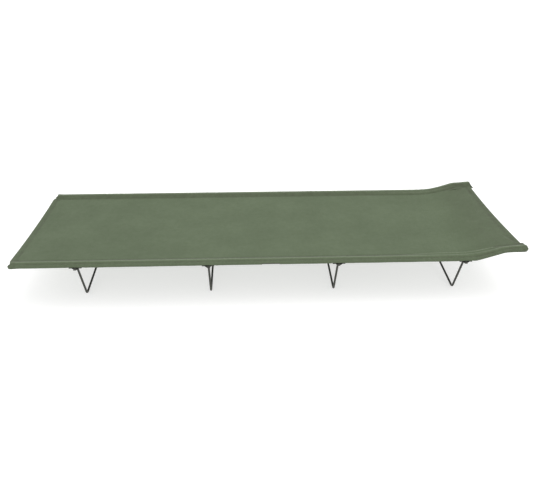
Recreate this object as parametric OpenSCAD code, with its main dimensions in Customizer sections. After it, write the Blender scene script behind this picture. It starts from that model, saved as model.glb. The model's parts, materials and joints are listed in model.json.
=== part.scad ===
// Low folding camp cot: a taut canvas sheet sleeved over two side rails that fold in
// half at mid-length, standing on four bent-rod legs that swing flat under the sheet.
// +X points to the raised head end, +Z up. The origin is on the floor, under the middle.

/* [Overall] */
// Length over the two ends of the rails
bed_length = 1860; // [1400:1:2300]
// Distance between the centre lines of the two rails
rail_spacing = 625; // [450:5:800]
// Height of the rail centre lines above the floor, up to the headrest
rail_height = 176; // [120:1:300]

/* [Rails] */
// Outside diameter of the rail tube
rail_d = 22; // [16:0.5:32]
// Wall thickness of the rail tube
rail_wall = 1.5; // [1:0.1:2.5]
// Thickness of the flange of each rail end cap
cap_flange = 3; // [2:0.5:8]
// Depth that each end cap reaches into its rail
cap_plug = 14; // [8:1:40]

/* [Headrest] */
// Angle of the ramp that lifts the head end
ramp_angle = 17; // [8:0.5:25]
// Straight length of that ramp
ramp_length = 84; // [40:1:110]
// Angle of the rail past the ramp
end_angle = 3; // [0:0.5:6]
// Centre-line radius of the two headrest bends
rail_bend_r = 90; // [40:1:140]

/* [Legs] */
// Diameter of the leg rod
rod_d = 8; // [5:0.5:12]
// Foot end of the rails to leg 1
foot_overhang = 228; // [180:1:340]
// Fold to leg 2
fold_to_leg_2 = 227; // [150:0.5:280]
// Fold to leg 3
fold_to_leg_3 = 248; // [150:0.5:290]
// Leg 4 to the head end of the rails
head_overhang = 216; // [205:0.5:340]
// Lean of the leg arms from the vertical
arm_splay = 23.6; // [10:0.1:35]
// Rise of the cross bar from each foot to its middle
bar_rise_angle = 5.8; // [2:0.1:12]
// Centre-line radius of the bend at the top of each arm
top_bend_r = 9; // [7:0.5:16]
// Centre-line radius of the bend at each foot
foot_bend_r = 18; // [12:1:40]
// Centre-line radius of the bend in the middle of the cross bar
crest_bend_r = 160; // [60:5:300]

/* [Leg saddles] */
// Length of each saddle along the rail
saddle_length = 46; // [44:1:80]
// Width of each saddle across the rail
saddle_width = 15; // [10:0.5:16]
// Thickness of the pressed strap
strap = 1.6; // [1.2:0.1:2.5]
// Gap between the rail and the leg rod in the saddle
rod_under_rail = 0.3; // [0.2:0.1:1]
// Radial clearance of the leg rod in the saddle
rod_clearance = 0.08; // [0.03:0.01:0.1]
// Diameter of the saddle rivets
rivet_d = 4; // [3:0.5:5]
// Distance between the two rivets of a saddle
rivet_spacing = 34; // [28:1:36]
// Reach of the leg stop past the saddle, across the rail
stop_reach = 10; // [6:1:14]
// Depth of the leg stop below the pivot
stop_depth = 6.5; // [5:0.5:20]

/* [Fold hinge] */
// Distance between the two pins of each link
link_pitch = 28; // [27:0.5:40]
// Thickness of the link bar
link_thickness = 6; // [4:0.5:8]
// Depth of the link bar
link_depth = 14; // [10:0.5:16]
// Diameter of the hinge pins
pin_d = 5; // [4:0.5:6]
// Radial clearance of the hinge pins
pin_clearance = 0.05; // [0.03:0.01:0.1]
// Height, above the pins, of the notch in the top of the rail ends
notch_floor = 5.5; // [4:0.5:8]
// Length of that notch behind each pin
notch_length = 17; // [14:1:30]
// Gap between the two rails of a side where they butt
butt_gap = 0.3; // [0.2:0.1:1]

/* [Canvas] */
// Thickness of the cloth and its folds, as one solid
cloth = 1.6; // [1:0.1:3]
// Gap between the rail and the sleeve round it
sleeve_gap = 0.3; // [0.3:0.1:1]
// Thickness of the sleeve wall
sleeve_wall = 1.2; // [0.8:0.1:2]
// Rail centre line to the seam of the sleeve
seam_inset = 30; // [24:1:50]
// Dip of the sheet in the middle of its width
canvas_sag = 5; // [0:0.5:20]
// Foot end of the rails to the edge of the sheet
foot_margin = 1; // [1:0.5:30]
// Head end of the rails to the edge of the sheet
head_margin = 4; // [4:0.5:40]
// Gap kept between the cloth and a saddle
cloth_clearance = 0.8; // [0.5:0.1:2]

/* [Hidden] */
$fn = 48;
half_length = bed_length / 2;
rail_r = rail_d / 2;
bore_r = rail_r - rail_wall;
rail_y = rail_spacing / 2;
rod_r = rod_d / 2;
sleeve_r = rail_r + sleeve_gap + sleeve_wall;
leg_x = [
    foot_overhang - half_length,
    -fold_to_leg_2,
    fold_to_leg_3,
    half_length - head_overhang
];
// Way that the foot of each leg swings when it folds
leg_swing = [1, -1, 1, -1];
pivot_drop = rail_r + rod_under_rail + rod_r;
// Leg, in its own plane: the first coordinate runs inwards from the rail and the second
// up from the pivot
lean = 90 - arm_splay;
spigot_end = -saddle_width / 2;
spigot_bend = saddle_width / 2 + 0.5;
foot_level = foot_bend_r + rod_r - (rail_height - pivot_drop);
arm_start = [spigot_bend + top_bend_r * sin(lean), top_bend_r * (cos(lean) - 1)];
arm_end_level = foot_level - foot_bend_r * cos(lean);
arm_length = (arm_start[1] - arm_end_level) / sin(lean);
arm_end = arm_start + arm_length * [cos(lean), -sin(lean)];
foot_centre = arm_end + foot_bend_r * [sin(lean), cos(lean)];
bar_start = foot_centre + foot_bend_r * [sin(bar_rise_angle), -cos(bar_rise_angle)];
bar_run = rail_y - crest_bend_r * sin(bar_rise_angle) - bar_start[0];
bar_length = bar_run / cos(bar_rise_angle);
pin_x = link_pitch / 2;
end_swing_r = pin_x - butt_gap / 2;
pin_r = pin_d / 2;
rivet_r = rivet_d / 2;
rivet_head_r = rivet_r * 1.7;
// Corners of the headrest, along the centre line of a head rail
ramp_x = leg_x[3] + saddle_length / 2 + 0.5;
ramp_start = [ramp_x, 0];
straight_start = ramp_start + rail_bend_r * [sin(ramp_angle), 1 - cos(ramp_angle)];
straight_end = straight_start + ramp_length * [cos(ramp_angle), sin(ramp_angle)];
level_start = straight_end
    + rail_bend_r * [sin(ramp_angle) - sin(end_angle), cos(end_angle) - cos(ramp_angle)];
level_length = (half_length - level_start[0]) / cos(end_angle);
// Middle of the sheet's thickness, from the left seam to the right one: it dips between
sheet_steps = 12;
sheet_half = rail_y - seam_inset;
sheet_line = [
    for (i = [0 : sheet_steps])
        let (share = 1 - 2 * i / sheet_steps)
            [sheet_half * share, -canvas_sag * (1 - pow(share, 2))]
];
// How much fuller a bend is than the straights that it joins, and how far they reach in
hair = 0.02;
reach = 0.5;
// How far a cutting shape runs past the faces that it cuts
over = 1;
// Level of the saddle flanges below the rail's centre, as a share of the rail radius
flange_level = 0.6;

STEEL = [0.26, 0.28, 0.22];
PAINT = [0.2, 0.21, 0.17];
CLOTH = [0.42, 0.47, 0.38];
ZINC = [0.62, 0.62, 0.6];
BLACK = [0.12, 0.12, 0.11];

// ---- placing helpers ----

// Child at the centre line of the left rail (side 1) or the right rail (side -1)
module at_rail(side) {
    translate([0, side * rail_y, rail_height]) children();
}

// Child on both rails
module on_both_rails() {
    for (side = [1, -1])
        at_rail(side) children();
}

// Flat outline in the plane across the bed, extruded along +X
module along_x(length) {
    rotate([90, 0, 90]) linear_extrude(length) children();
}

// Cylinder along Y, centred on the origin
module across(r, length) {
    rotate([90, 0, 0]) cylinder(r = r, h = length, center = true);
}

// Straight piece of an outline swept along the rails, from a point on the centre line
module straight_run(start, angle, length) {
    translate([start[0], 0, start[1]]) rotate([0, -angle, 0]) along_x(length) children();
}

// Piece that bends upwards, round an axis above the centre line
module upward_bend(start, angle_from, angle_to) {
    centre = start + rail_bend_r * [-sin(angle_from), cos(angle_from)];
    translate([centre[0], 0, centre[1]])
        rotate([0, -angle_from, 0])
            rotate([90, 90, 0])
                rotate_extrude(angle = angle_to - angle_from)
                    translate([rail_bend_r, 0]) mirror([0, 1]) rotate(90) children();
}

// Piece that bends back down, round an axis below the centre line
module downward_bend(start, angle_from, angle_to) {
    centre = start - rail_bend_r * [-sin(angle_from), cos(angle_from)];
    translate([centre[0], 0, centre[1]])
        rotate([0, -angle_from, 0])
            rotate([-90, 0, 0])
                rotate([0, 0, -90])
                    rotate_extrude(angle = angle_from - angle_to)
                        translate([rail_bend_r, 0]) mirror([1, 0]) rotate(90) children();
}

// Outline swept along the head half, from x_start to short_by before the head end.
// The second child is the same outline a hair fuller. It makes the two bends, and the
// straights reach a little way into them.
module along_head(x_start, short_by) {
    into_ramp = reach * [cos(ramp_angle), sin(ramp_angle)];
    into_level = reach * [cos(end_angle), sin(end_angle)];
    straight_run([x_start, 0], 0, ramp_x + reach - x_start) children(0);
    upward_bend(ramp_start, 0, ramp_angle) children(1);
    straight_run(straight_start - into_ramp, ramp_angle, ramp_length + 2 * reach) children(0);
    downward_bend(straight_end, ramp_angle, end_angle) children(1);
    straight_run(level_start - into_level, end_angle, level_length + reach - short_by)
        children(0);
}

// ---- rails ----

// Space taken off the top of a rail end so that link and cloth can fold into it.
// The rail lies towards -X of its pin, which is at the origin.
module hinge_notch() {
    width = rail_d + 2 * over;
    translate([-notch_length, -width / 2, notch_floor])
        cube([notch_length + pin_x + over, width, rail_r]);
    // Top corner of the end face, cleared to the circle that it swings on
    difference() {
        translate([0, -width / 2, 0]) cube([pin_x + over, width, rail_r + over]);
        across(end_swing_r, width + 2 * over);
    }
    across(pin_r + pin_clearance, width);
}

module saddle_rivet_holes(x) {
    for (offset = [-1, 1] * rivet_spacing / 2)
        translate([x + offset, 0, -rail_r - over])
            cylinder(r = rivet_r + pin_clearance, h = rail_wall + 3 * over);
}

module foot_rail(side) {
    tube_start = -half_length + cap_flange;
    color(STEEL) at_rail(side) difference() {
        translate([tube_start, 0, 0]) along_x(-butt_gap / 2 - tube_start) difference() {
            circle(rail_r);
            circle(bore_r);
        }
        translate([-pin_x, 0, 0]) hinge_notch();
        saddle_rivet_holes(leg_x[0]);
        saddle_rivet_holes(leg_x[1]);
    }
}

module head_rail(side) {
    color(STEEL) at_rail(side) difference() {
        along_head(butt_gap / 2, cap_flange) {
            circle(rail_r);
            circle(rail_r + hair);
        }
        along_head(-over, cap_flange - over) {
            circle(bore_r);
            circle(bore_r + hair);
        }
        translate([pin_x, 0, 0]) mirror([1, 0, 0]) hinge_notch();
        saddle_rivet_holes(leg_x[2]);
        saddle_rivet_holes(leg_x[3]);
    }
}

// Moulded cap: a plug in the tube and a flange with a rounded rim. Its seat is at
// the origin, with the plug towards -X.
module end_cap() {
    plug_clearance = 0.05;
    rim = cap_flange / 2;
    color(BLACK) rotate([0, 90, 0]) {
        translate([0, 0, -cap_plug]) cylinder(r = bore_r - plug_clearance, h = cap_plug);
        rotate_extrude() {
            square([rail_r, cap_flange - rim]);
            square([rail_r - rim, cap_flange]);
            translate([rail_r - rim, cap_flange - rim]) intersection() {
                circle(rim);
                square(rim);
            }
        }
    }
}

module foot_cap(side) {
    at_rail(side) translate([cap_flange - half_length, 0, 0]) mirror([1, 0, 0]) end_cap();
}

module head_cap(side) {
    at_rail(side)
        translate([level_start[0], 0, level_start[1]])
            rotate([0, -end_angle, 0])
                translate([level_length - cap_flange, 0, 0]) end_cap();
}

// ---- leg saddles ----

// Everything above the two sloping sides of a saddle's strap, from one shoulder to the
// other and up to a level
module above_strap(shoulder, side_foot, rise, top) {
    polygon([
        [-shoulder[0], top], [-shoulder[0], shoulder[1] + rise],
        [-side_foot[0], side_foot[1] + rise], [side_foot[0], side_foot[1] + rise],
        [shoulder[0], shoulder[1] + rise], [shoulder[0], top]
    ]);
}

// Side view of a saddle about the pivot: a pressed strap that runs from its flanges, flat
// against the rail, down to a loop round the rod, open towards the rail
module saddle_outline() {
    loop_r = rod_r + rod_clearance + strap;
    flange_top = pivot_drop - rail_r * flange_level;
    flange_bottom = rod_r + rod_under_rail - strap;
    // Where a side of the strap leaves the rail, and where it runs into the loop
    shoulder = [rivet_spacing / 2 - rivet_head_r - 1, flange_bottom];
    side_foot = loop_r * [0.8, -0.6];
    // Thickness of a side, measured upright
    side_rise = strap * norm(shoulder - side_foot) / (shoulder[0] - side_foot[0]);
    mouth = rod_r * 1.2;
    difference() {
        union() {
            difference() {
                union() {
                    translate([-saddle_length / 2, flange_bottom])
                        square([saddle_length, flange_top - flange_bottom]);
                    above_strap(shoulder, side_foot, 0, flange_top);
                }
                above_strap(shoulder, side_foot, side_rise, flange_top + over);
            }
            circle(loop_r);
        }
        circle(rod_r + rod_clearance);
        translate([-mouth / 2, 0]) square([mouth, rod_d * 2]);
    }
}

// Saddle under a rail, with the stop that the leg rests against when it stands.
// swing is the way that the foot of its leg swings.
module saddle_body(x, swing, side) {
    stop_thickness = 3;
    stop_gap = 0.15;
    // Hair that keeps the seat off the rail
    seat_gap = 0.02;
    color(PAINT) at_rail(side) translate([x, 0, -pivot_drop]) difference() {
        union() {
            rotate([90, 0, 0])
                linear_extrude(saddle_width, center = true) saddle_outline();
            // The stop stands behind the arm, on the side that the leg doesn't swing to
            translate([
                swing > 0 ? -rod_r - stop_gap - stop_thickness : rod_r + stop_gap,
                side > 0 ? -saddle_width / 2 - stop_reach : -saddle_width / 2,
                -stop_depth
            ])
                cube([
                    stop_thickness, saddle_width + stop_reach,
                    stop_depth + rod_r + rod_under_rail - strap
                ]);
        }
        // Seat on the rail
        translate([0, 0, pivot_drop]) rotate([0, 90, 0])
            cylinder(r = rail_r + seat_gap, h = saddle_length + 2 * over, center = true);
        // Bore for the leg rod
        across(rod_r + rod_clearance, saddle_width + 2 * (stop_reach + over));
        for (offset = [-1, 1] * rivet_spacing / 2)
            translate([offset, 0, -rod_r])
                cylinder(r = rivet_r + pin_clearance, h = rod_d + pivot_drop);
    }
}

module saddle(number, side) {
    saddle_body(leg_x[number - 1], leg_swing[number - 1], side);
}

// Blind rivet up through a saddle flange and the rail wall
module saddle_rivet() {
    head_h = 1.1;
    crown_r = rivet_head_r * 0.7;
    // Length of the shank that stands inside the rail
    tail = 2.5;
    color(ZINC) translate([0, 0, -rail_r - strap]) {
        translate([0, 0, -head_h]) cylinder(r1 = crown_r, r2 = rivet_head_r, h = head_h);
        cylinder(r = rivet_r, h = strap + rail_wall + tail);
    }
}

module saddle_rivets(numbers) {
    on_both_rails()
        for (number = numbers, offset = [-1, 1] * rivet_spacing / 2)
            translate([leg_x[number - 1] + offset, 0, 0]) saddle_rivet();
}

// ---- legs ----

// Pieces of rod in the plane of the leg, from a point on its centre line
module rod_run(from, angle, length) {
    translate([from[0], from[1], 0]) rotate([0, 0, angle])
        translate([-reach, 0, 0]) rotate([0, 90, 0]) cylinder(r = rod_r, h = length + 2 * reach);
}

module rod_bend(centre, radius, angle_from, angle_to) {
    translate([centre[0], centre[1], 0]) rotate([0, 0, angle_from])
        rotate_extrude(angle = angle_to - angle_from)
            translate([radius, 0]) circle(rod_r + hair);
}

module half_leg() {
    rod_run([spigot_end, 0], 0, spigot_bend - spigot_end);
    rod_bend([spigot_bend, -top_bend_r], top_bend_r, 90 - lean, 90);
    rod_run(arm_start, -lean, arm_length);
    rod_bend(foot_centre, foot_bend_r, 180 + arm_splay, 270 + bar_rise_angle);
    rod_run(bar_start, bar_rise_angle, bar_length);
}

// Bend in the middle of the cross bar
module crest() {
    bar_end_level = bar_start[1] + bar_length * sin(bar_rise_angle);
    centre_level = bar_end_level - crest_bend_r * cos(bar_rise_angle);
    rod_bend([rail_y, centre_level], crest_bend_r, 90 - bar_rise_angle, 90 + bar_rise_angle);
}

module leg(number) {
    color(PAINT) translate([leg_x[number - 1], 0, rail_height - pivot_drop]) {
        translate([0, rail_y, 0]) rotate([90, 0, -90]) half_leg();
        translate([0, rail_y, 0]) rotate([90, 0, -90]) crest();
        mirror([0, 1, 0]) translate([0, rail_y, 0]) rotate([90, 0, -90]) half_leg();
    }
}

// ---- fold hinge ----

module hinge_link(side) {
    color(ZINC) at_rail(side) difference() {
        union() {
            cube([link_pitch, link_thickness, link_depth], center = true);
            for (x = [-pin_x, pin_x])
                translate([x, 0, 0]) across(link_depth / 2, link_thickness);
        }
        for (x = [-pin_x, pin_x])
            translate([x, 0, 0]) across(pin_r + pin_clearance, link_thickness + 2 * over);
    }
}

// Pins flush with the rail, apart from a hair that their ends are spread by
module hinge_pins(x) {
    color(ZINC) on_both_rails() translate([x, 0, 0]) across(pin_r, rail_d + 10 * hair);
}

// Rings that keep the link in the middle of the rail
module hinge_spacers(x) {
    ring_r = pin_r + 2;
    side_gap = 0.15;
    ring_outer = sqrt(pow(bore_r, 2) - pow(ring_r, 2)) - side_gap;
    ring_inner = link_thickness / 2 + side_gap;
    color(BLACK) on_both_rails()
        for (face = [1, -1])
            translate([x, face * (ring_inner + ring_outer) / 2, 0]) difference() {
                across(ring_r, ring_outer - ring_inner);
                across(pin_r + pin_clearance, rail_d);
            }
}

// ---- canvas ----

// Outline of the sheet from seam to seam. In these outlines, fuller is how much thicker
// each face stands.
module sheet_outline(fuller = 0) {
    rise = [0, cloth / 2 + fuller];
    polygon(concat(
        [for (i = [0 : sheet_steps]) sheet_line[i] + rise],
        [for (i = [sheet_steps : -1 : 0]) sheet_line[i] - rise]
    ));
}

// Outline of the sheet with its sleeves: each runs round its rail and back to the seam
module canvas_outline(fuller = 0) {
    arc_steps = 16;
    outer_r = sleeve_r + fuller;
    rise = [0, cloth / 2 + fuller];
    sweep = 180 - acos(outer_r / seam_inset);
    left_arc = [
        for (i = [0 : arc_steps])
            let (angle = sweep * (2 * i / arc_steps - 1))
                [rail_y + outer_r * cos(angle), outer_r * sin(angle)]
    ];
    right_arc = [for (i = [arc_steps : -1 : 0]) [-left_arc[i][0], left_arc[i][1]]];
    polygon(concat(
        left_arc,
        [for (i = [0 : sheet_steps]) sheet_line[i] + rise],
        right_arc,
        [for (i = [sheet_steps : -1 : 0]) sheet_line[i] - rise]
    ));
}

// Space round both rails inside the sleeves
module sleeve_bores(fuller = 0) {
    for (side = [1, -1])
        translate([side * rail_y, 0]) circle(rail_r + sleeve_gap + fuller);
}

// Opening in the underside of a sleeve for a saddle
module saddle_window(x) {
    length = saddle_length + 2 * cloth_clearance;
    width = saddle_width + 2 * cloth_clearance;
    bottom = -pivot_drop - rod_d;
    // Just above the level where the saddle ends, so that a clear strip of rail shows
    top = -rail_r * (flange_level - 0.2);
    on_both_rails() translate([x - length / 2, -width / 2, bottom])
        cube([length, width, top - bottom]);
}

module foot_canvas() {
    sleeve_stop = pin_x + notch_length + cloth_clearance;
    foot_edge = foot_margin - half_length;
    color(CLOTH) {
        difference() {
            translate([foot_edge, 0, rail_height])
                along_x(-sleeve_stop - foot_edge) canvas_outline();
            translate([foot_edge - over, 0, rail_height]) along_x(half_length) sleeve_bores();
            saddle_window(leg_x[0]);
            saddle_window(leg_x[1]);
        }
        translate([-sleeve_stop - reach, 0, rail_height])
            along_x(sleeve_stop + reach - butt_gap) sheet_outline(-hair);
    }
}

module head_canvas() {
    sleeve_stop = pin_x + notch_length + cloth_clearance;
    color(CLOTH) {
        difference() {
            translate([0, 0, rail_height]) along_head(sleeve_stop, head_margin) {
                canvas_outline();
                canvas_outline(hair);
            }
            translate([0, 0, rail_height]) along_head(over, head_margin - over) {
                sleeve_bores();
                sleeve_bores(hair);
            }
            saddle_window(leg_x[2]);
            saddle_window(leg_x[3]);
        }
        translate([butt_gap, 0, rail_height])
            along_x(sleeve_stop + reach - butt_gap) sheet_outline(-hair);
    }
}

foot_rail(1);  // foot_rail_left
foot_rail(-1);  // foot_rail_right
head_rail(1);  // head_rail_left
head_rail(-1);  // head_rail_right
foot_cap(1);  // foot_cap_left
foot_cap(-1);  // foot_cap_right
head_cap(1);  // head_cap_left
head_cap(-1);  // head_cap_right
saddle(1, 1);  // saddle_1_left
saddle(1, -1);  // saddle_1_right
saddle(2, 1);  // saddle_2_left
saddle(2, -1);  // saddle_2_right
saddle(3, 1);  // saddle_3_left
saddle(3, -1);  // saddle_3_right
saddle(4, 1);  // saddle_4_left
saddle(4, -1);  // saddle_4_right
saddle_rivets([1, 2]);  // foot_saddle_rivets
saddle_rivets([3, 4]);  // head_saddle_rivets
leg(1);  // leg_1
leg(2);  // leg_2
leg(3);  // leg_3
leg(4);  // leg_4
hinge_link(1);  // hinge_link_left
hinge_link(-1);  // hinge_link_right
hinge_pins(-pin_x);  // foot_hinge_pins
hinge_pins(pin_x);  // head_hinge_pins
hinge_spacers(-pin_x);  // foot_hinge_spacers
hinge_spacers(pin_x);  // head_hinge_spacers
foot_canvas();
head_canvas();
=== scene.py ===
"""Low folding camp cot: canvas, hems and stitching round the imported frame, and every finish."""
import json
import math

import bmesh
import bpy
from mathutils import Matrix, Vector, noise


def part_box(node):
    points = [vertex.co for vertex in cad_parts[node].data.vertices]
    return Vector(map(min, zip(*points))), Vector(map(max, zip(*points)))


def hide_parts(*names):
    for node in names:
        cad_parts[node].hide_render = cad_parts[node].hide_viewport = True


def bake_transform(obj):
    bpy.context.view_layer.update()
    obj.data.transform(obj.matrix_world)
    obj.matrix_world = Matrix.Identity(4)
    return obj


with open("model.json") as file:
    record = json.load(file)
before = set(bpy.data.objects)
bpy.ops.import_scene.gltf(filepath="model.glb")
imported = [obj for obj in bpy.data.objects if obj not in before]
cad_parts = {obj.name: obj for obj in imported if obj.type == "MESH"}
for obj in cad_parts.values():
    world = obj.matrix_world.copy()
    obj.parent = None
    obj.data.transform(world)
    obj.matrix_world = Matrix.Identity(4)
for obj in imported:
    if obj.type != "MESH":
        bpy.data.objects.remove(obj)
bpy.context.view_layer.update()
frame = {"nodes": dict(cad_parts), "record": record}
MM = 0.001

# ---- places that come from the frame ----

rail_low, rail_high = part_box("foot_rail_left")
RAIL_Y = (rail_low.y + rail_high.y) / 2
RAIL_Z = (rail_low.z + rail_high.z) / 2
RAIL_R = (rail_high.z - rail_low.z) / 2
# At the foot the panel runs further out than its CAD solid and its sleeves
FOOT_REACH = 14 * MM
FOOT_EDGE = -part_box("foot_canvas")[0].x + FOOT_REACH
HEAD_EDGE_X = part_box("head_canvas")[1].x
FOOT_RAIL_END = -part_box("foot_cap_left")[0].x
HEAD_RAIL_END_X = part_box("head_cap_left")[1].x
LEG_X = [
    (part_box(f"saddle_{k}_left")[0].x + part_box(f"saddle_{k}_left")[1].x) / 2
    for k in (1, 2, 3, 4)
]
SADDLE_HALF = (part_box("saddle_1_left")[1].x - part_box("saddle_1_left")[0].x) / 2
SADDLE_WIDTH_HALF = 7.5 * MM

# Headrest of the rails: bend up, ramp, bend back and a nearly level end
RAMP_GAP = 0.5 * MM
RAMP_X = LEG_X[3] + SADDLE_HALF + RAMP_GAP
RAMP_ANGLE = math.radians(17)
RAMP_LENGTH = 84 * MM
END_ANGLE = math.radians(3)
BEND_R = 90 * MM

# ---- cut of the canvas ----

CLOTH = 0.9 * MM
SLEEVE_R = RAIL_R + 0.8 * MM
SEAM_INSET = 30 * MM
PANEL_HALF = RAIL_Y - SEAM_INSET
SAG = 5 * MM
SLOPE = math.sqrt(SEAM_INSET ** 2 - SLEEVE_R ** 2)
WRAP = math.pi - math.acos(SLEEVE_R / SEAM_INSET)
ROUND = 2 * WRAP * SLEEVE_R
TAIL = 12 * MM
# Lap seam on the outer side of the sleeve, measured across the cut from the inner seam
SLEEVE_SEAM = SLOPE + 14.5 * MM
LAYER_GAP = 1.15 * MM
CUT_HALF = PANEL_HALF + SLOPE + ROUND + SLOPE + TAIL
HEM = 22 * MM
HEM_FOLD_R = 0.55 * MM
HEM_STITCH = 18 * MM
# How much fuller the sleeves are at their ends, round the turned-in hem
HEM_ROOM = 1.2 * MM
FLARE_START = 45 * MM
FLARE_RISE = 35 * MM
# Length at each end over which the edge's bow fades into straight cloth
SHIFT_ZONE = 0.18
FOOT_BOW = 1.5 * MM
HEAD_BOW = 3 * MM
# How far the closed ends of the sleeves run past the rails, at the head and at the foot
HEAD_TIP = 5.5 * MM
FOOT_TIP = 3 * MM
# Rounded rim of the end cap, round which a sleeve starts to close, and how open its flat
# end stays
CAP_RIM = 1.5 * MM
TIP_OPEN = 0.16
TIP_BLUNTNESS = 1.6
# How far the lower lip of a foot sleeve sticks out past its closed end
FOOT_LIP = 7 * MM
# Start, end and fade of that lip, in shares of the way round the rail from its inner side
LIP_START, LIP_END, LIP_FADE = 0.35, 1.25, 0.3
# Openings in the underside of the sleeves: half the length of the one at the fold, room
# round a saddle, and the level where each starts, in sleeve radii
HINGE_OPEN = 32 * MM
SADDLE_ROOM_ALONG = 1.5 * MM
SADDLE_ROOM_ACROSS = 1.2 * MM
HINGE_OPEN_LEVEL = -0.25
SADDLE_OPEN_LEVEL = -0.5

# ---- creases ----

# Slack fold on the inside of each sleeve, towards the headrest. It rises before the ramp,
# and fades out on it. The left sleeve has only a share of it.
FOLD_PLACE = SLOPE - 15 * MM
FOLD_HEIGHT = 7 * MM
FOLD_WIDTH = 9 * MM
FOLD_START, FOLD_RISE = 0.30, 0.20
FOLD_END, FOLD_FADE = 0.07, 0.07
LEFT_FOLD = 0.3
# Unevenness: slow swell and finer ripple of the panel, and ripple of the sleeves
PANEL_SWELL = 0.9 * MM
PANEL_RIPPLE = 0.35 * MM
SLEEVE_RIPPLE = 0.45 * MM
# Pulls beside each saddle: short waves along the sleeve, and a fan into the panel
PULL_REACH = 45 * MM
PULL_HEIGHT = 0.35 * MM
PULL_PITCH = 13 * MM
FAN_HEIGHT = 0.3 * MM
FAN_PITCH = 9 * MM
FAN_SPREAD = 0.22
FAN_REACH = 60 * MM
# Inner seam with its puckers, and the lap seam on the sleeve
PUCKER_PITCH = 19 * MM
PUCKER_HEIGHT = 0.22 * MM
PUCKER_REACH = 9 * MM
SEAM_DEPTH, SEAM_WIDTH = 0.5 * MM, 3.5 * MM
LAP_DEPTH, LAP_WIDTH = 0.7 * MM, 2.4 * MM
# Diagonal fold inside each corner, with the swell beside it
HEAD_DIAGONAL = 2.6 * MM
FOOT_DIAGONAL = 0.7 * MM
DIAGONAL_START = 4 * MM
DIAGONAL_SLANT = 0.3
VALLEY_WIDTH = 7 * MM
VALLEY_PLACE, VALLEY_REACH = 55 * MM, 45 * MM
SWELL_SHARE = 0.4
SWELL_OFFSET, SWELL_WIDTH = 16 * MM, 10 * MM
SWELL_PLACE, SWELL_REACH = 60 * MM, 50 * MM
# Hem: groove along its stitches, and the fuller cloth outside them
HEM_GROOVE = 0.5 * MM
HEM_GROOVE_WIDTH = 5 * MM
HEM_SWELL = 0.35 * MM
HEM_SWELL_PLACE, HEM_SWELL_WIDTH = 9 * MM, 8 * MM
# Lengths from an end edge within which the cloth has end creases
END_ZONE = (-0.03, 0.30)


def smooth(share):
    """Smooth step of a share from 0 to 1."""
    share = min(1.0, max(0.0, share))
    return share * share * (3 - 2 * share)


def bell(distance, width):
    return math.exp(-((distance / width) ** 2))


# ---- line of the rails, as a function of the length along it from the fold ----

LENGTHS = (BEND_R * RAMP_ANGLE, RAMP_LENGTH, BEND_R * (RAMP_ANGLE - END_ANGLE))
HALVINGS = 40


def rail_line(along):
    """Place (x, rise) and slope of the rail line. Negative lengths run to the foot end."""
    if along <= RAMP_X:
        return along, 0.0, 0.0
    x, rise, left = RAMP_X, 0.0, along - RAMP_X
    bend = min(left, LENGTHS[0])
    angle = bend / BEND_R
    x += BEND_R * math.sin(angle)
    rise += BEND_R * (1 - math.cos(angle))
    left -= bend
    if left <= 0:
        return x, rise, angle
    run = min(left, LENGTHS[1])
    x += run * math.cos(RAMP_ANGLE)
    rise += run * math.sin(RAMP_ANGLE)
    left -= run
    if left <= 0:
        return x, rise, RAMP_ANGLE
    bend = min(left, LENGTHS[2])
    angle = RAMP_ANGLE - bend / BEND_R
    x += BEND_R * (math.sin(RAMP_ANGLE) - math.sin(angle))
    rise += BEND_R * (math.cos(angle) - math.cos(RAMP_ANGLE))
    left -= bend
    if left <= 0:
        return x, rise, angle
    return x + left * math.cos(END_ANGLE), rise + left * math.sin(END_ANGLE), END_ANGLE


def length_at(x):
    """Length along the rail line at which it reaches x."""
    low, high = 0.0, 2 * x
    for _ in range(HALVINGS):
        middle = (low + high) / 2
        if rail_line(middle)[0] < x:
            low = middle
        else:
            high = middle
    return low


HEAD_EDGE = length_at(HEAD_EDGE_X)
HEAD_RAIL_END = length_at(HEAD_RAIL_END_X)
# Half the length of rail that the taut cloth averages over, and the samples on each side
SOFTENING = 85 * MM
SAMPLES = 6


def soft_line(along):
    """Rise and slope of the rail line as taut cloth follows it, cutting the bends short."""
    offsets = range(-SAMPLES, SAMPLES + 1)
    steps = [rail_line(along + SOFTENING * k / SAMPLES) for k in offsets]
    weights = [1 - (k / (SAMPLES + 1)) ** 2 for k in offsets]
    total = sum(weights)
    return (
        sum(w * p[1] for w, p in zip(weights, steps)) / total,
        sum(w * p[2] for w, p in zip(weights, steps)) / total,
    )


def cloth_line(along, panel_share, sleeve_share):
    """Place and slope of the line that the cloth follows. The panel keeps to the taut line,
    and the top of a sleeve only where that lifts it off the rail."""
    x, rise, angle = rail_line(along)
    if along < RAMP_X - 2 * SOFTENING:
        return x, rise, angle
    soft_rise, soft_angle = soft_line(along)
    rise += (soft_rise - rise) * panel_share
    rise += max(0.0, soft_rise - rise) * sleeve_share
    return x, rise, angle + (soft_angle - angle) * panel_share


# ---- section of the canvas, as a function of the distance across the cut ----


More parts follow.
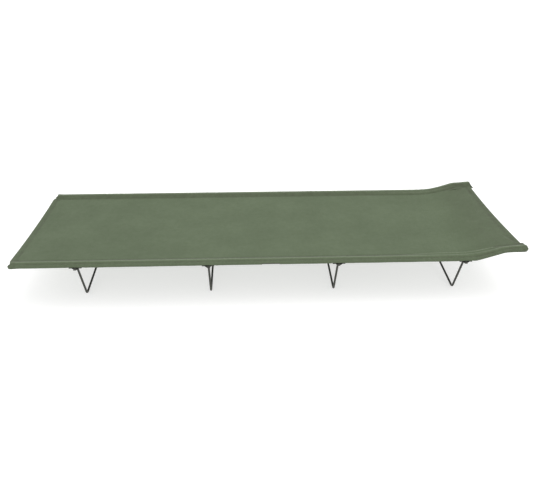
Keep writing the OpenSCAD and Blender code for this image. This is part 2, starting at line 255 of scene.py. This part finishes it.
def section(across, flare):
    """(y, level, normal y, normal level) of the cloth at a distance across the cut from its
    middle. flare is how much fuller the sleeve is there."""
    side = 1 if across >= 0 else -1
    u = abs(across)
    if u <= PANEL_HALF:
        share = u / PANEL_HALF
        tilt = 2 * SAG * share / PANEL_HALF
        return side * u, -SAG * (1 - share * share), -side * tilt, 1.0
    u -= PANEL_HALF
    top = (math.cos(WRAP), math.sin(WRAP))
    radius = SLEEVE_R + flare
    if u <= SLOPE:
        share = u / SLOPE
        y = -SEAM_INSET + share * (SEAM_INSET + radius * top[0])
        level = share * radius * top[1]
        return side * (RAIL_Y + y), level, side * top[0], top[1]
    u -= SLOPE
    if u <= ROUND:
        angle = WRAP - u / SLEEVE_R
        turn = (math.cos(angle), math.sin(angle))
        return side * (RAIL_Y + radius * turn[0]), radius * turn[1], side * turn[0], turn[1]
    u -= ROUND
    if u <= SLOPE:
        share = 1 - u / SLOPE
        y = -SEAM_INSET + share * (SEAM_INSET + radius * top[0])
        level = -share * radius * top[1] - (1 - share) * LAYER_GAP
        return side * (RAIL_Y + y), level, side * top[0], -top[1]
    u -= SLOPE
    share = 1 - u / PANEL_HALF
    return side * (PANEL_HALF - u), -SAG * (1 - share * share) - LAYER_GAP, 0.0, -1.0


def edge_shift(across, bow, reach):
    """How far the end edge moves outwards there: the panel is bowed in by the pull across,
    and the sleeve reaches further along its rail than the panel."""
    share = min(1.0, abs(across) / PANEL_HALF)
    past_seam = smooth((abs(across) - PANEL_HALF) / (0.8 * SLOPE))
    return reach * past_seam - bow * (1 - share ** 2)


def lower_lip(across):
    """How far the lower, outer side of a foot sleeve runs on past the upper side."""
    around = (abs(across) - PANEL_HALF - SLOPE) / ROUND
    starting = smooth((around - LIP_START) / LIP_FADE)
    return FOOT_LIP * starting * smooth((LIP_END - around) / LIP_FADE)


def closed_end(y, level, on_line, tip, closing):
    """Section point drawn in where its sleeve closes flat, just before its tip."""
    share = (on_line - tip + closing) / closing
    if share <= 0 or abs(y) < PANEL_HALF:
        return y, level
    share = min(1.0, share)
    open_share = TIP_OPEN + (1 - TIP_OPEN) * (1 - share ** TIP_BLUNTNESS)
    outward = max(0.0, abs(y) - RAIL_Y)
    drawn_in = outward * (1 - open_share) / 2
    return y - math.copysign(drawn_in, y), level * open_share


def ramp_fold(across, along):
    """How far the slack fold along the inside of a sleeve has risen there: it starts
    between the last two legs and runs out on the headrest."""
    rising = smooth((along - RAMP_X + FOLD_START) / FOLD_RISE)
    fading = 1 - smooth((along - RAMP_X - FOLD_END) / FOLD_FADE)
    return rising * fading * (LEFT_FOLD if across > 0 else 1.0)


def leg_pulls(u, side, along, sleeve):
    """Creases that the saddles pull into the cloth. u is the distance out past the seam."""
    height = 0.0
    for number, leg in enumerate(LEG_X):
        near = bell(along - leg, PULL_REACH)
        if near > 0.01:
            # The shifts make the pulls differ from saddle to saddle
            phase = (along - leg) / PULL_PITCH + 0.6 * number + 0.4 * side
            height += PULL_HEIGHT * near * sleeve * math.sin(phase * math.pi)
            fan = (along - leg) / (FAN_PITCH - FAN_SPREAD * min(0.0, u))
            height += FAN_HEIGHT * near * bell(u, FAN_REACH) * math.cos(fan * math.pi)
    return height


def end_creases(u, along, panel):
    """Diagonal folds inside the corners, and the hem's groove and swell."""
    height = 0.0
    for end, length, depth in ((1, HEAD_EDGE, HEAD_DIAGONAL), (-1, FOOT_EDGE, FOOT_DIAGONAL)):
        inward = length - end * along
        if END_ZONE[0] < inward < END_ZONE[1]:
            from_corner = -u
            fold = inward - DIAGONAL_START - DIAGONAL_SLANT * from_corner
            valley = bell(fold, VALLEY_WIDTH) * bell(from_corner - VALLEY_PLACE, VALLEY_REACH)
            swell = bell(fold - SWELL_OFFSET, SWELL_WIDTH)
            swell *= bell(from_corner - SWELL_PLACE, SWELL_REACH)
            height += depth * (SWELL_SHARE * swell - valley)
            height -= HEM_GROOVE * bell(inward - HEM_STITCH, HEM_GROOVE_WIDTH) * panel
            height += HEM_SWELL * bell(inward - HEM_SWELL_PLACE, HEM_SWELL_WIDTH) * panel
    return height


def creases(across, along):
    """Height of the soft creases: pulls round the leg saddles, seam puckers, a slack
    diagonal inside the corners and a little unevenness everywhere."""
    u = abs(across) - PANEL_HALF
    side = 1 if across >= 0 else -1
    sleeve = smooth((u + 4 * MM) / (8 * MM)) * (1 - smooth((u - SLOPE - ROUND) / SLOPE))
    panel = 1 - smooth((u + 2 * MM) / (6 * MM))
    height = PANEL_SWELL * panel * noise.noise(Vector((across * 3.1, along * 2.3, 4.7)))
    height += PANEL_RIPPLE * panel * noise.noise(Vector((across * 13, along * 9, 1.3)))
    height += SLEEVE_RIPPLE * sleeve * noise.noise(Vector((side * 5.0, along * 17, u * 30)))
    height += leg_pulls(u, side, along, sleeve)
    wander = 3 * noise.noise(Vector((along * 25, side, 0)))
    pucker = math.sin(along * 2 * math.pi / PUCKER_PITCH + wander)
    height += PUCKER_HEIGHT * bell(u, PUCKER_REACH) * pucker
    height -= SEAM_DEPTH * bell(u, SEAM_WIDTH)
    height -= LAP_DEPTH * bell(u - SLEEVE_SEAM, LAP_WIDTH)
    height += FOLD_HEIGHT * ramp_fold(across, along) * bell(u - FOLD_PLACE, FOLD_WIDTH)
    return height + end_creases(u, along, panel)


def canvas_point(across, along, lift=0.0):
    """Place of a point of the flat cut once the canvas is on its rails."""
    end = 1 if along >= 0 else -1
    length = HEAD_EDGE if end > 0 else FOOT_EDGE
    if end > 0:
        bow, tip, closing = HEAD_BOW, HEAD_RAIL_END + HEAD_TIP, HEAD_TIP + CAP_RIM
    else:
        bow, closing = FOOT_BOW, FOOT_TIP + CAP_RIM
        tip = FOOT_RAIL_END + FOOT_TIP + lower_lip(across)
    past = end * along - length
    drop = 0.0
    on_line = end * along
    if past > 0:
        turned = min(past / HEM_FOLD_R, math.pi)
        on_line = length + HEM_FOLD_R * math.sin(turned) - max(0.0, past - math.pi * HEM_FOLD_R)
        drop = HEM_FOLD_R * (1 - math.cos(turned))
    near_end = smooth((on_line - length + SHIFT_ZONE) / SHIFT_ZONE)
    on_line += edge_shift(across, bow, tip - length) * near_end
    flare = HEM_ROOM * smooth((on_line - length + FLARE_START) / FLARE_RISE)
    y, level, normal_y, normal_level = section(across, flare)
    y, level = closed_end(y, level, on_line, tip, closing)
    rise = creases(across, end * on_line) - drop + lift
    y += normal_y * rise
    level += normal_level * rise
    past_seam = abs(across) - PANEL_HALF
    on_top = smooth(1 - (past_seam - SLOPE) / (0.42 * ROUND))
    x, line_rise, angle = cloth_line(end * on_line, smooth(1 - past_seam / SLOPE), on_top)
    return Vector((
        x - level * math.sin(angle),
        y,
        RAIL_Z + line_rise + level * math.cos(angle),
    ))


# ---- mesh helpers ----


def stations(*runs):
    """Grid lines over runs of (start, end, cells), each run starting where the last ended."""
    lines = [runs[0][0]]
    for start, end, cells in runs:
        lines += [start + (end - start) * k / cells for k in range(1, cells + 1)]
    return lines


def new_piece(name, bm, finish):
    mesh = bpy.data.meshes.new(name)
    bm.to_mesh(mesh)
    bm.free()
    mesh.shade_smooth()
    piece = bpy.data.objects.new(name, mesh)
    bpy.context.scene.collection.objects.link(piece)
    piece.data.materials.append(finish)
    return piece


def in_opening(across, along):
    """True where the underside of a sleeve is cut away, for a saddle or for the fold."""
    if abs(across) < PANEL_HALF:
        return False
    y, level = section(across, 0.0)[:2]
    if abs(along) < HINGE_OPEN:
        past_round = abs(across) > PANEL_HALF + SLOPE + ROUND
        return level < HINGE_OPEN_LEVEL * SLEEVE_R or past_round
    near_leg = any(abs(along - x) < SADDLE_HALF + SADDLE_ROOM_ALONG for x in LEG_X)
    under_rail = abs(abs(y) - RAIL_Y) < SADDLE_WIDTH_HALF + SADDLE_ROOM_ACROSS
    return near_leg and under_rail and level < SADDLE_OPEN_LEVEL * SLEEVE_R


def wear_and_painted_light(across, along, end, length):
    """Shares from 0 to 1 of paler cloth, painted highlight with rubbing wear, and of darker cloth,
    painted shade with the darker seams and hem, there. along counts from the fold.
    """
    u = abs(across) - PANEL_HALF
    inward = length - along
    folded = ramp_fold(across, along) if end > 0 else 0.0
    # Paler cloth: painted highlight along the crown of each sleeve, on the crest of the slack fold
    # and a little way round the outer side of the sleeve, and rubbing wear; also paler at the hem's
    # edge. Where the fold rises, its crest takes the highlight from the crown.
    rub_and_highlight = (1 - 0.6 * folded) * bell(u - SLOPE - 2.5 * MM, 4 * MM)
    rub_and_highlight += folded * bell(u - FOLD_PLACE + 1 * MM, 5 * MM)
    rub_and_highlight += 0.25 * bell(u - SLOPE - 0.42 * ROUND, 0.2 * ROUND)
    rub_and_highlight += 0.3 * bell(inward, 3 * MM)
    # Darker along the lap seam on the outer side of each sleeve and along the inner seam
    seam = bell(u - SLEEVE_SEAM, 2.6 * MM) + 0.7 * bell(u, 3 * MM)
    # Painted shade on the slope from the inner seam up to the crown of each sleeve, less where the
    # slack fold rises
    painted_slope_shade = smooth(u / (4 * MM)) * (1 - smooth((u - SLOPE + 6 * MM) / (8 * MM)))
    # Painted shade on the underside of each sleeve
    painted_underside_shade = smooth((u - SLOPE - 0.62 * ROUND) / (0.2 * ROUND))
    # Darker across the turned-in hem and along its row of stitches
    hem = 0.35 * (1 - smooth((inward - HEM) / (3 * MM)))
    hem += 0.5 * bell(inward - HEM_STITCH, 2.5 * MM)
    # Painted shade over the headrest, growing towards the head end
    painted_head_shade = 0.45 * smooth((along - 0.70) / 0.18) if end > 0 else 0.0
    # Painted shade together with the darker seams and hem
    shade_and_soil = max(seam, 0.85 * painted_slope_shade * (1 - folded), painted_underside_shade, hem) + painted_head_shade
    return min(1.0, rub_and_highlight), min(1.0, shade_and_soil)


# Grid cells across each sleeve and across the panel
SLEEVE_CELLS = 60
PANEL_CELLS = 88
# Length beside the hem's edge that has finer cells
EDGE_STRIP = 30 * MM


def canvas_half(name, end, finish):
    """One half of the canvas, from the fold to its hem: a flat grid laid on the rails."""
    length = HEAD_EDGE if end > 0 else FOOT_EDGE
    across_lines = stations(
        (-CUT_HALF, -PANEL_HALF, SLEEVE_CELLS),
        (-PANEL_HALF, PANEL_HALF, PANEL_CELLS),
        (PANEL_HALF, CUT_HALF, SLEEVE_CELLS),
    )
    turn = math.pi * HEM_FOLD_R
    along_lines = stations(
        (0.0, HINGE_OPEN, 16),
        (HINGE_OPEN, length - EDGE_STRIP, 152),
        (length - EDGE_STRIP, length, 8),
        (length, length + turn, 4),
        (length + turn, length + HEM, 6),
    )
    cells_across, cells_along = len(across_lines) - 1, len(along_lines) - 1
    bm = bmesh.new()
    bmesh.ops.create_grid(bm, x_segments=cells_across, y_segments=cells_along, size=0.5)
    cut_layer = bm.loops.layers.uv.new("cut")
    rub_and_highlight_layer = bm.verts.layers.float.new("rub_and_highlight")
    shade_and_soil_layer = bm.verts.layers.float.new("shade_and_soil")
    flat = {}
    for vert in bm.verts:
        across = across_lines[round((vert.co.x + 0.5) * cells_across)]
        along = along_lines[round((vert.co.y + 0.5) * cells_along)]
        flat[vert] = (across, end * along)
    for face in bm.faces:
        for loop in face.loops:
            loop[cut_layer].uv = flat[loop.vert]
    cut_away = []
    for face in bm.faces:
        across = sum(flat[v][0] for v in face.verts) / 4
        along = sum(flat[v][1] for v in face.verts) / 4
        if in_opening(across, along):
            cut_away.append(face)
    for vert, (across, along) in flat.items():
        vert[rub_and_highlight_layer], vert[shade_and_soil_layer] = wear_and_painted_light(across, end * along, end, length)
        vert.co = canvas_point(across, along)
    bmesh.ops.delete(bm, geom=cut_away, context="FACES")
    bmesh.ops.recalc_face_normals(bm, faces=bm.faces)
    top = max((f for f in bm.faces), key=lambda f: f.calc_center_median().z)
    if top.normal.z < 0:
        bmesh.ops.reverse_faces(bm, faces=bm.faces)
    bm.normal_update()
    for vert in bm.verts:
        vert.co += vert.normal * CLOTH / 2
    cut_edges = {frozenset(v.index for v in e.verts) for e in bm.edges if e.is_boundary}
    piece = new_piece(name, bm, finish)
    thicken = piece.modifiers.new("thickness", "SOLIDIFY")
    thicken.thickness = CLOTH
    thicken.offset = -1
    # The cut edges are sharp, so that their sides don't shade the cloth beside them
    sharp = piece.data.attributes.new("sharp_edge", "BOOLEAN", "EDGE")
    for edge in piece.data.edges:
        sharp.data[edge.index].value = frozenset(edge.vertices) in cut_edges
    return piece


STITCH_PITCH = 4.2 * MM
STITCH_HALF = 1.45 * MM
THREAD_R = 0.32 * MM
THREAD_LIFT = 0.55 * MM
# Distances across the cut of the two rows beside each sleeve
SEAM_ROWS = (PANEL_HALF + 0.4 * MM, PANEL_HALF - 4.5 * MM)
UP = Vector((0, 0, 1))


def stitch(bm, start, end):
    """One stitch of thread between two points of the cloth."""
    along = (end - start).normalized()
    across = UP.cross(along).normalized()
    turn = Matrix((along, across, along.cross(across))).transposed().to_4x4()
    size = Matrix.Diagonal(((end - start).length / 2, THREAD_R, THREAD_R * 0.8, 1))
    bmesh.ops.create_icosphere(
        bm, subdivisions=1, radius=1, matrix=Matrix.Translation((start + end) / 2) @ turn @ size
    )


def stitch_row(bm, points):
    for a, b in points:
        stitch(bm, canvas_point(*a, lift=THREAD_LIFT), canvas_point(*b, lift=THREAD_LIFT))


def stitching_half(name, end, finish):
    """Seam rows along both sleeves and the row that holds the hem."""
    length = HEAD_EDGE if end > 0 else FOOT_EDGE
    bm = bmesh.new()
    for across in SEAM_ROWS:
        for side in (1, -1):
            count = int((length - 2 * MM) / STITCH_PITCH)
            middles = [1.5 * MM + (k + 0.5) * STITCH_PITCH for k in range(count)]
            stitch_row(bm, [
                ((side * across, end * (m - STITCH_HALF)), (side * across, end * (m + STITCH_HALF)))
                for m in middles
            ])
    span = PANEL_HALF - 8 * MM
    count = int(2 * span / STITCH_PITCH)
    row = end * (length - HEM_STITCH)
    middles = [-span + (k + 0.5) * STITCH_PITCH for k in range(count)]
    stitch_row(bm, [((m - STITCH_HALF, row), (m + STITCH_HALF, row)) for m in middles])
    bmesh.ops.recalc_face_normals(bm, faces=bm.faces)
    return new_piece(name, bm, finish)


# ---- finishes ----

CANVAS_DEEP = (0.074, 0.099, 0.055)
CANVAS_PALE = (0.087, 0.115, 0.066)
CANVAS_SLUB = (0.105, 0.133, 0.081)
CANVAS_GAP = (0.050, 0.066, 0.038)
# Paler canvas: painted highlight on the sleeve crowns and the fold's crest, and rubbing wear
CANVAS_RUB_AND_HIGHLIGHT = (0.162, 0.192, 0.132)
# Darker canvas: painted shade on the sleeve slopes, sleeve undersides and headrest, and the darker
# seams and hem
CANVAS_SHADE_AND_SOIL = (0.056, 0.062, 0.040)
THREAD_DEEP = (0.070, 0.090, 0.052)
THREAD_PALE = (0.115, 0.138, 0.088)
RAIL_DEEP = (0.030, 0.034, 0.022)
RAIL_PALE = (0.046, 0.050, 0.034)
LEG_DEEP = (0.014, 0.016, 0.010)
LEG_PALE = (0.024, 0.026, 0.017)
PAINT_SCUFF = (0.085, 0.088, 0.070)
BARE_STEEL = (0.230, 0.225, 0.210)
ZINC_BRIGHT = (0.62, 0.62, 0.60)
ZINC_DULL = (0.47, 0.48, 0.47)
BLACK_DEEP = (0.014, 0.014, 0.013)
BLACK_PALE = (0.026, 0.026, 0.024)
FLOOR_TONE = (0.50, 0.50, 0.50)
FLOOR_TONE_WARM = (0.51, 0.508, 0.504)
FLOOR_GLOW = 0.62
THREAD_PITCH = 0.75 * MM


class Finish:
    """A material being built: its node tree, shader and shared coordinates."""

    def __init__(self, name, roughness, metallic=0.0):
        self.material = bpy.data.materials.new(name)
        self.material.use_nodes = True
        self.tree = self.material.node_tree
        self.shader = self.tree.nodes["Principled BSDF"]
        self.shader.inputs["Roughness"].default_value = roughness
        self.shader.inputs["Metallic"].default_value = metallic
        self.place = self.tree.nodes.new("ShaderNodeTexCoord").outputs["Object"]

    def add(self, kind, **settings):
        node = self.tree.nodes.new(kind)
        for key, value in settings.items():
            setattr(node, key, value)
        return node

    def join(self, output, socket):
        self.tree.links.new(output, socket)

    def stretched(self, source, scale):
        mapping = self.add("ShaderNodeMapping")
        mapping.inputs["Scale"].default_value = scale
        self.join(source, mapping.inputs["Vector"])
        return mapping.outputs["Vector"]

    def speckle(self, source, scale, detail=3.0, roughness=0.5):
        texture = self.add("ShaderNodeTexNoise")
        texture.inputs["Scale"].default_value = scale
        texture.inputs["Detail"].default_value = detail
        texture.inputs["Roughness"].default_value = roughness
        self.join(source, texture.inputs["Vector"])
        return texture.outputs["Fac"]

    def rescale(self, source, low, high, to_low=0.0, to_high=1.0):
        node = self.add("ShaderNodeMapRange")
        limits = {"From Min": low, "From Max": high, "To Min": to_low, "To Max": to_high}
        for key, value in limits.items():
            node.inputs[key].default_value = value
        self.join(source, node.inputs["Value"])
        return node.outputs["Result"]

    def combine(self, operation, a, b):
        node = self.add("ShaderNodeMath", operation=operation)
        for socket, value in zip(node.inputs, (a, b)):
            if isinstance(value, (int, float)):
                socket.default_value = value
            else:
                self.join(value, socket)
        return node.outputs[0]

    def blend(self, factor, a, b):
        """Colour a where factor is 0 and colour b where it is 1."""
        node = self.add("ShaderNodeMix", data_type="RGBA")
        self.join(factor, node.inputs[0])
        for socket, value in zip((node.inputs[6], node.inputs[7]), (a, b)):
            if isinstance(value, tuple):
                socket.default_value = (*value, 1.0)
            else:
                self.join(value, socket)
        return node.outputs[2]

    def relief(self, height, strength, depth):
        bump = self.add("ShaderNodeBump")
        bump.inputs["Strength"].default_value = strength
        bump.inputs["Distance"].default_value = depth
        self.join(height, bump.inputs["Height"])
        self.join(bump.outputs["Normal"], self.shader.inputs["Normal"])

    def colour(self, source):
        self.join(source, self.shader.inputs["Base Color"])

    def gloss(self, source):
        self.join(source, self.shader.inputs["Roughness"])


def canvas_finish():
    """Plain-woven olive cotton canvas, paler along the crowns of the sleeves and the fold's crest,
    a painted highlight with rubbing wear, and darker along its seams and hem, with painted shade on
    the sleeve slopes, the sleeve undersides and the headrest."""
    f = Finish("olive_canvas", 0.85)
    f.shader.inputs["Sheen Weight"].default_value = 0.06
    f.shader.inputs["Sheen Roughness"].default_value = 0.5
    f.shader.inputs["Specular IOR Level"].default_value = 0.15
    cut = f.add("ShaderNodeUVMap", uv_map="cut").outputs["UV"]
    ribs = []
    for direction in ("X", "Y"):
        wave = f.add("ShaderNodeTexWave", wave_type="BANDS", bands_direction=direction)
        wave.inputs["Scale"].default_value = math.pi / (10 * THREAD_PITCH)
        wave.inputs["Distortion"].default_value = 0.0
        f.join(cut, wave.inputs["Vector"])
        ribs.append(wave.outputs["Fac"])
    over = f.add("ShaderNodeTexChecker")
    over.inputs["Scale"].default_value = 1 / THREAD_PITCH
    f.join(cut, over.inputs["Vector"])
    weave = f.add("ShaderNodeMix", data_type="FLOAT")
    f.join(over.outputs["Fac"], weave.inputs[0])
    f.join(ribs[0], weave.inputs[2])
    f.join(ribs[1], weave.inputs[3])
    warp_slub = f.speckle(f.stretched(cut, (900, 14, 1)), 1.0, 2.0)
    weft_slub = f.speckle(f.stretched(cut, (14, 900, 1)), 1.0, 2.0)
    slub = f.combine("ADD", warp_slub, weft_slub)
    fading = f.speckle(f.place, 7.0, 4.0, 0.55)
    patches = f.speckle(f.place, 60.0, 3.0)
    base = f.blend(f.rescale(fading, 0.35, 0.65), CANVAS_DEEP, CANVAS_PALE)
    base = f.blend(f.rescale(slub, 0.8, 1.35, 0.0, 0.45), base, CANVAS_SLUB)
    base = f.blend(f.rescale(patches, 0.45, 0.75, 0.0, 0.25), base, CANVAS_DEEP)
    base = f.blend(f.rescale(weave.outputs[0], 0.0, 0.35, 0.22, 0.0), base, CANVAS_GAP)
    # Painted shade on the sleeve slopes, sleeve undersides and headrest, with the darker seams and
    # hem, broken into blotches
    shade_and_soil = f.add("ShaderNodeAttribute", attribute_name="shade_and_soil").outputs["Fac"]
    blotches = f.rescale(f.speckle(f.place, 45.0, 4.0), 0.35, 0.65, 0.35, 0.75)
    base = f.blend(f.combine("MULTIPLY", shade_and_soil, blotches), base, CANVAS_SHADE_AND_SOIL)
    # Painted highlight, with rubbing wear, on the sleeve crowns and the fold's crest
    rub_and_highlight = f.add("ShaderNodeAttribute", attribute_name="rub_and_highlight").outputs["Fac"]
    grain = f.rescale(f.speckle(f.place, 160.0, 4.0), 0.40, 0.60, 0.45, 1.0)
    f.colour(f.blend(f.combine("MULTIPLY", rub_and_highlight, grain), base, CANVAS_RUB_AND_HIGHLIGHT))
    f.gloss(f.rescale(patches, 0.3, 0.7, 0.78, 0.92))
    height = f.combine("ADD", weave.outputs[0], f.combine("MULTIPLY", slub, 0.5))
    f.relief(height, 0.35, 0.25 * MM)
    return f.material


def thread_finish():
    f = Finish("sewing_thread", 0.7)
    strands = f.speckle(f.stretched(f.place, (3000, 1200, 3000)), 1.0, 2.0)
    f.colour(f.blend(f.rescale(strands, 0.35, 0.65), THREAD_DEEP, THREAD_PALE))
    f.relief(strands, 0.4, 0.1 * MM)
    return f.material


def paint_finish(name, deep, pale, rub_top):
    """Satin stove paint with orange peel, and bare steel where it rubs below rub_top."""
    f = Finish(name, 0.42)
    f.shader.inputs["Specular IOR Level"].default_value = 0.45
    tone = f.speckle(f.place, 35.0, 4.0)
    peel = f.speckle(f.place, 900.0, 2.0)
    scratches = f.speckle(f.stretched(f.place, (60, 500, 500)), 1.0, 4.0, 0.6)
    base = f.blend(f.rescale(tone, 0.3, 0.7), deep, pale)
    scuffs = f.rescale(scratches, 0.66, 0.74, 0.0, 0.35)
    base = f.blend(scuffs, base, PAINT_SCUFF)
    height = f.add("ShaderNodeSeparateXYZ")
    f.join(f.place, height.inputs[0])
    low = f.rescale(height.outputs["Z"], rub_top, rub_top * 0.3)
    chips = f.rescale(f.speckle(f.place, 260.0, 5.0, 0.65), 0.5, 0.56)
    bare = f.combine("MULTIPLY", low, chips)
    f.colour(f.blend(bare, base, BARE_STEEL))
    f.gloss(f.rescale(tone, 0.3, 0.7, 0.36, 0.5))
    f.relief(peel, 0.25, 0.06 * MM)
    return f.material


def zinc_finish():
    """Zinc plate, with its faint crystals and a dull bloom."""
    f = Finish("zinc_plate", 0.38, metallic=1.0)
    crystals = f.add("ShaderNodeTexVoronoi")
    crystals.inputs["Scale"].default_value = 420.0
    f.join(f.place, crystals.inputs["Vector"])
    bloom = f.speckle(f.place, 140.0, 4.0)
    base = f.blend(f.rescale(bloom, 0.35, 0.65), ZINC_BRIGHT, ZINC_DULL)
    f.colour(base)
    f.gloss(f.rescale(crystals.outputs["Distance"], 0.0, 0.8, 0.3, 0.48))
    f.relief(f.speckle(f.place, 1500.0, 2.0), 0.15, 0.05 * MM)
    return f.material


def plastic_finish(name, deep, pale, grain):
    """Moulded plastic with a spark-eroded grain."""
    f = Finish(name, 0.5)
    cloud = f.speckle(f.place, 90.0, 3.0)
    f.colour(f.blend(f.rescale(cloud, 0.3, 0.7), deep, pale))
    f.gloss(f.rescale(cloud, 0.3, 0.7, 0.42, 0.58))
    f.relief(f.speckle(f.place, grain, 2.0), 0.3, 0.06 * MM)
    return f.material


def floor_finish():
    """Pale floor that glows, so that the shadow on it stays light."""
    f = Finish("pale_floor", 0.9)
    f.shader.inputs["Specular IOR Level"].default_value = 0.1
    cloud = f.speckle(f.place, 1.5, 2.0)
    f.colour(f.blend(f.rescale(cloud, 0.3, 0.7), FLOOR_TONE, FLOOR_TONE_WARM))
    f.shader.inputs["Emission Color"].default_value = (1.0, 1.0, 1.0, 1.0)
    f.shader.inputs["Emission Strength"].default_value = FLOOR_GLOW
    return f.material


# ---- canvas and stitching ----

canvas = canvas_finish()
thread = thread_finish()
for half, end, parent, child in (
    ("foot", -1, "foot_frame", "hinge_links"),
    ("head", 1, "hinge_links", "head_frame"),
):
    cloth = canvas_half(f"{half}_cloth", end, canvas)
    sewing = stitching_half(f"{half}_stitching", end, thread)
    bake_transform(cloth)
    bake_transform(sewing)
    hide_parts(f"{half}_canvas")

# ---- finishes of the frame ----

FINISHES = {
    "rail_paint": paint_finish("rail_paint", RAIL_DEEP, RAIL_PALE, rub_top=1 * MM),
    "leg_paint": paint_finish("leg_paint", LEG_DEEP, LEG_PALE, rub_top=9 * MM),
    "zinc": zinc_finish(),
    "end_cap": plastic_finish("end_cap_plastic", BLACK_DEEP, BLACK_PALE, grain=2200.0),
    "spacer": plastic_finish("spacer_nylon", BLACK_DEEP, BLACK_PALE, grain=3200.0),
    "canvas": canvas,
}
for part in frame["record"]["subparts"]:
    node = frame["nodes"][part["node"]]
    node.data.materials.clear()
    node.data.materials.append(FINISHES[part["material_slot"]])

# ---- floor, light and camera ----

FLOOR_HALF = 30
bm = bmesh.new()
bmesh.ops.create_grid(bm, x_segments=8, y_segments=8, size=FLOOR_HALF)
floor = new_piece("floor", bm, floor_finish())


def soft_light(name, place, target, size, power):
    light = bpy.data.lights.new(name, "AREA")
    light.shape = "RECTANGLE"
    light.size, light.size_y = size
    light.energy = power
    lamp = bpy.data.objects.new(name, light)
    lamp.location = place
    lamp.rotation_euler = (Vector(target) - Vector(place)).to_track_quat("-Z", "Y").to_euler()
    bpy.context.scene.collection.objects.link(lamp)


soft_light("overhead", place=(0.4, 0.2, 3.2), target=(0.2, 0, 0), size=(4.0, 2.0), power=58)
soft_light("front", place=(-0.4, -3.2, 1.5), target=(0, 0, 0.1), size=(4.0, 1.4), power=14)

world = bpy.data.worlds.new("studio")
world.use_nodes = True
backdrop = world.node_tree.nodes["Background"]
backdrop.inputs["Color"].default_value = (1, 1, 1, 1)
backdrop.inputs["Strength"].default_value = 1.0
bpy.context.scene.world = world

CAMERA_PLACE = (-0.0818, -2.1988, 1.2271)
SENSOR_MM = 36.0
LENS_MM = 40.295
TURN = math.radians(2.01)
TILT = math.radians(27.705)
camera = bpy.data.objects.new("camera", bpy.data.cameras.new("camera"))
bpy.context.scene.collection.objects.link(camera)
camera.data.sensor_width = SENSOR_MM
camera.data.lens = LENS_MM
camera.location = CAMERA_PLACE
camera.rotation_euler = (math.pi / 2 - TILT, 0, -TURN)
bpy.context.scene.camera = camera
bpy.context.scene.view_settings.view_transform = "Standard"
